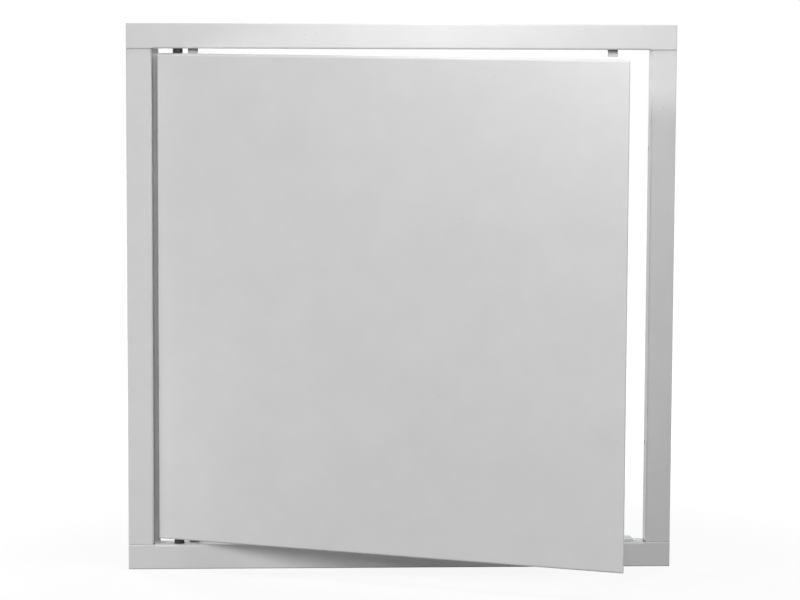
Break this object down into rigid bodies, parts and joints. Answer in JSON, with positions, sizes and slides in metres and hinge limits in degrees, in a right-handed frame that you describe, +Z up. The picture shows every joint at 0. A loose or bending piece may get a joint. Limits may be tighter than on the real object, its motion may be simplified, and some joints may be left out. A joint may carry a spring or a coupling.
{
  "type": "access panel",
  "caption": "White powder-coated sheet steel access panel: picture frame with a flush hinged door, standing ajar",
  "frame": {"origin": "on the wall face of the hinge stile's flange, at mid height", "axes": "+X across the opening from the hinge side to the free side, +Y into the wall, +Z up"},
  "size_m": [0.55, 0.2105, 0.55],
  "materials": {
    "white_powder_coat": "satin powder coat on folded sheet steel",
    "zinc_steel": "bright zinc plate",
    "black_nylon": "moulded black nylon"
  },
  "bodies": {
    "frame": {"top_rail": "white_powder_coat", "bottom_rail": "white_powder_coat", "left_stile": "white_powder_coat", "right_stile": "white_powder_coat", "stop_clip_top_left": "white_powder_coat", "stop_clip_top_right": "white_powder_coat", "stop_clip_bottom_left": "white_powder_coat", "stop_clip_bottom_right": "white_powder_coat", "hinge_bush_top": "black_nylon", "hinge_bush_bottom": "black_nylon", "catch_spring": "zinc_steel"},
    "door": {"door_panel": "white_powder_coat", "door_stiffener": "white_powder_coat", "hinge_bracket_top": "zinc_steel", "hinge_bracket_bottom": "zinc_steel", "hinge_pin_top": "zinc_steel", "hinge_pin_bottom": "zinc_steel"}
  },
  "joints": [
    {"name": "door_hinge", "type": "hinge", "parent": "frame", "child": "door", "pos_m": [0.0386, 0.0076, 0], "axis": [0, 0, -1], "range_deg": [-23, 67]}
  ]
}
